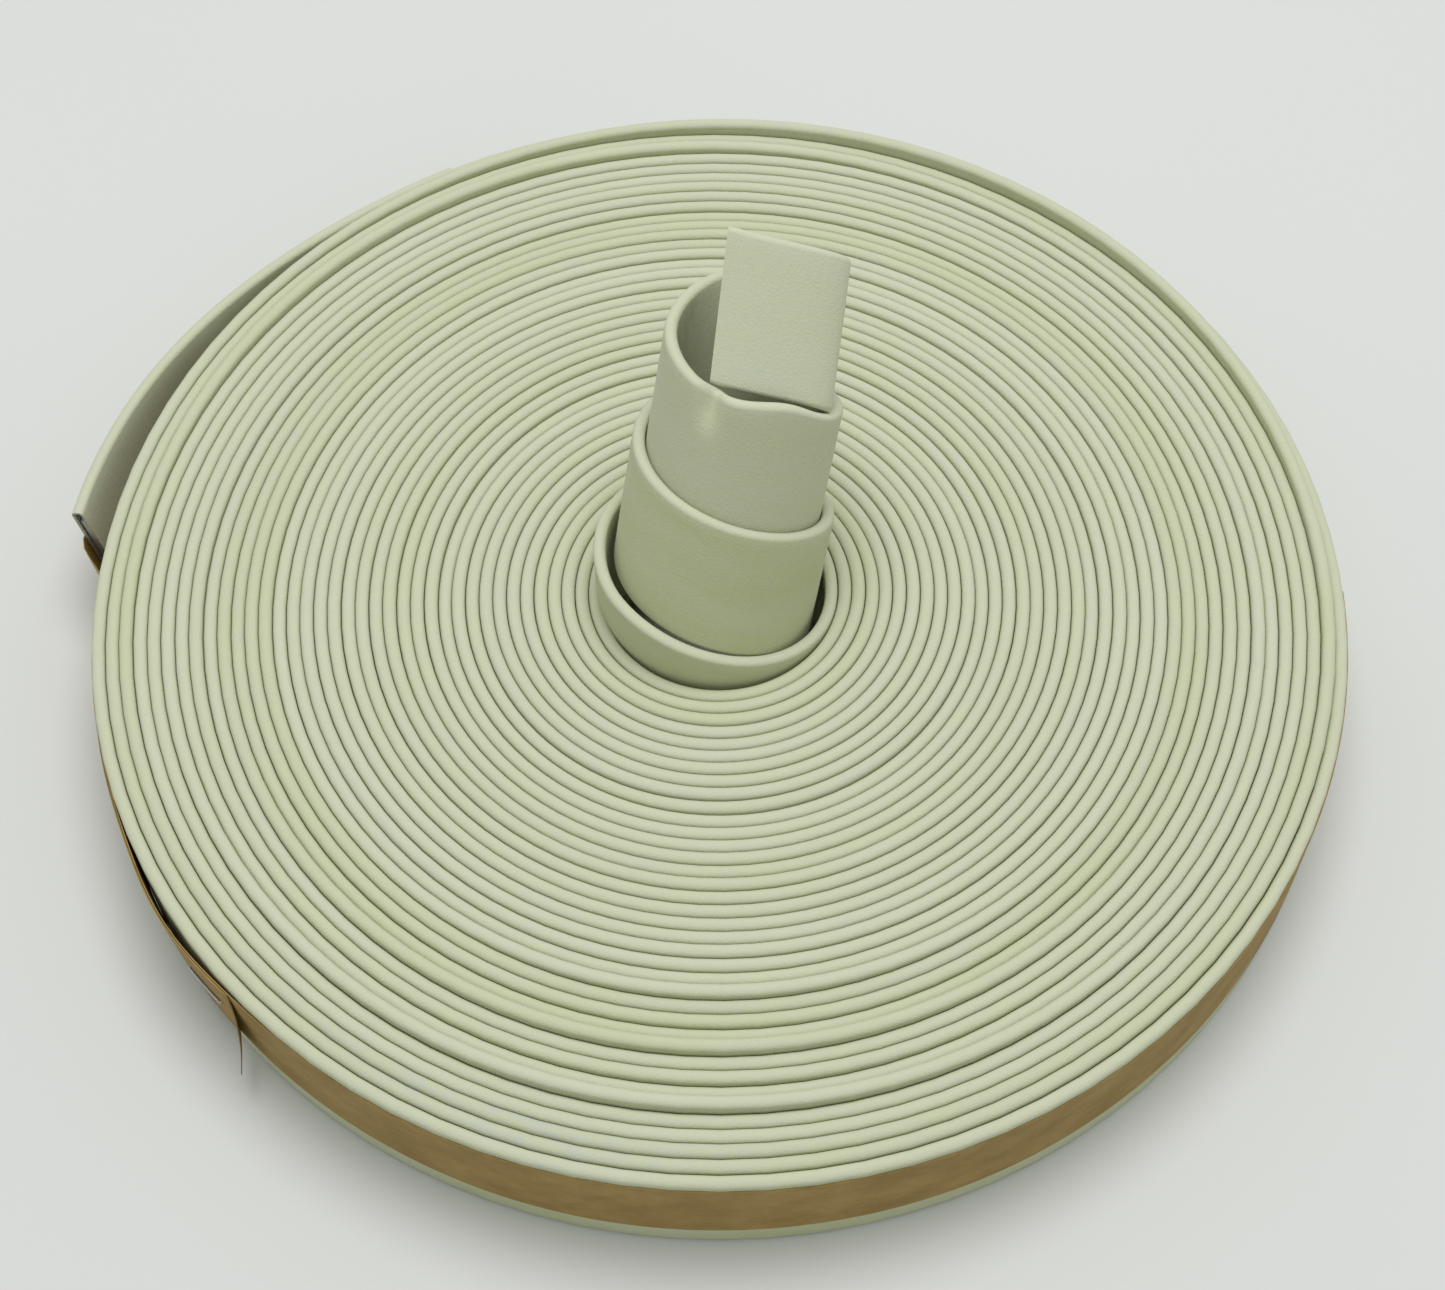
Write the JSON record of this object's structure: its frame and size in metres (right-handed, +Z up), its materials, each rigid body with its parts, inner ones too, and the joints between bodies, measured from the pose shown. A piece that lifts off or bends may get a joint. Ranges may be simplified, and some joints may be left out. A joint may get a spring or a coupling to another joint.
{
  "type": "rolled lay-flat fire hose",
  "caption": "Flat-rolled fire hose lying on its edge turns, its centre drawn up and leaning back, with a stapled kraft paper band round it.",
  "frame": {"origin": "bottom centre of the whole object's box, on the surface that the roll lies on", "axes": "+Z up along the roll's axis, -Y towards the side that the folded-back inner end faces, +X to its right"},
  "size_m": [0.2264, 0.2214, 0.0916],
  "materials": {
    "hose_cover": "matte pale green coated weave",
    "hose_lining": "matte grey rubber, cut edge",
    "kraft_paper": "uncoated brown kraft paper",
    "staple_wire": "bright galvanised wire"
  },
  "bodies": {
    "roll": {"wound_roll": "hose_cover", "outer_end": "hose_cover", "outer_end_lining": "hose_lining", "paper_band": "kraft_paper", "staple": "staple_wire"},
    "first_turn": {"inner_turn_1": "hose_cover"},
    "second_turn": {"inner_turn_2": "hose_cover"},
    "third_turn": {"inner_turn_3": "hose_cover"},
    "folded_end": {"inner_end": "hose_cover", "inner_end_lining": "hose_lining"},
    "band_tip": {"band_free_end": "kraft_paper"}
  },
  "joints": [
    {"name": "centre_lift", "type": "slide", "parent": "roll", "child": "first_turn", "axis": [0, 0, 1], "range_m": [0, 0.02]},
    {"name": "second_turn_draw", "type": "slide", "parent": "first_turn", "child": "second_turn", "axis": [0.1563, 0.3565, 0.9211], "range_m": [-0.0005, 0.01]},
    {"name": "third_turn_draw", "type": "slide", "parent": "second_turn", "child": "third_turn", "axis": [0.1563, 0.3565, 0.9211], "range_m": [-0.01, 0.008]},
    {"name": "end_swing", "type": "hinge", "parent": "third_turn", "child": "folded_end", "pos_m": [-0.0039, 0.02132, 0.06294], "axis": [0.1542, 0.3902, 0.9077], "range_deg": [-3, 35]},
    {"name": "band_tip_peel", "type": "hinge", "parent": "roll", "child": "band_tip", "pos_m": [-0.07811, -0.07652, 0.0147], "axis": [0, 0, -1], "range_deg": [-10, 75]}
  ]
}
